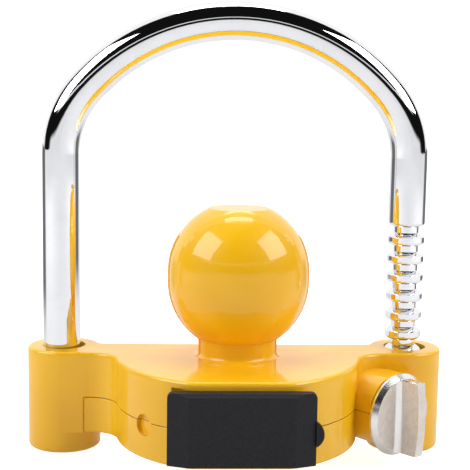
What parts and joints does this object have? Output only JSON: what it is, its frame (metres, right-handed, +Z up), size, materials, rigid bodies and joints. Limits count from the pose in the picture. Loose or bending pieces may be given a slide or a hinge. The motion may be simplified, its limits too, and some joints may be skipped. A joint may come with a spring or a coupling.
{
  "type": "trailer coupler lock",
  "caption": "Trailer coupler lock: a cast ball on a plate fills the coupler socket, and a notched steel shackle ratchets down over it; knob release, keyed lock under a dust cover.",
  "frame": {"origin": "centre of the coupling ball", "axes": "+X to the right when facing the key lock, +Y to the back, +Z up along the shackle legs"},
  "size_m": [0.1464, 0.0697, 0.1559],
  "materials": {
    "yellow_enamel": "glossy golden yellow enamel over cast metal",
    "chrome": "bright chrome plate",
    "zinc": "satin cast face with a polished rim",
    "steel": "plain zinc plated steel",
    "spring_steel": "bright spring wire",
    "brass": "machined brass",
    "black_plastic": "matte moulded black plastic",
    "nylon": "thin black nylon"
  },
  "bodies": {
    "body": {"upper_body": "yellow_enamel", "lower_body": "yellow_enamel", "body_screws": "steel", "lock_cylinder": "brass", "cylinder_pin": "steel", "hinge_pin": "steel", "knob_washer": "nylon", "pawl_spring": "spring_steel"},
    "shackle": {"shackle": "chrome"},
    "knob": {"knob": "zinc", "knob_shaft": "steel", "shaft_ring": "spring_steel"},
    "pawl": {"locking_pawl": "steel"},
    "key_plug": {"lock_plug": "brass", "wafers": "brass", "wafer_springs": "spring_steel", "lock_cam": "steel", "cam_screw": "steel"},
    "slide": {"lock_slide": "steel"},
    "cover": {"dust_cover": "black_plastic"}
  },
  "joints": [
    {"name": "shackle_slide", "type": "slide", "parent": "body", "child": "shackle", "axis": [0, 0, 1], "range_m": [-0.0536, 0.0335]},
    {"name": "knob_turn", "type": "hinge", "parent": "body", "child": "knob", "pos_m": [0.05403, -0.01003, -0.0455], "axis": [-0.6293, 0.7771, 0], "range_deg": [0, 90]},
    {"name": "pawl_slide", "type": "slide", "parent": "body", "child": "pawl", "axis": [0.7771, 0.6293, 0], "range_m": [0, 0.00241]},
    {"name": "key_turn", "type": "hinge", "parent": "body", "child": "key_plug", "pos_m": [0, -0.0407, -0.0433], "axis": [0, -1, 0], "range_deg": [0, 90]},
    {"name": "lock_slide_shift", "type": "slide", "parent": "body", "child": "slide", "axis": [1, 0, 0], "range_m": [0, 0.00312]},
    {"name": "cover_swing", "type": "hinge", "parent": "body", "child": "cover", "pos_m": [-0.0202, -0.0386, -0.0433], "axis": [0, 0, -1], "range_deg": [0, 90]}
  ],
  "couplings": [
    {"joint": "pawl_slide", "follows": "knob_turn", "m_per_rad": 0.0015279},
    {"joint": "lock_slide_shift", "follows": "key_turn", "m_per_rad": 0.0019807}
  ]
}
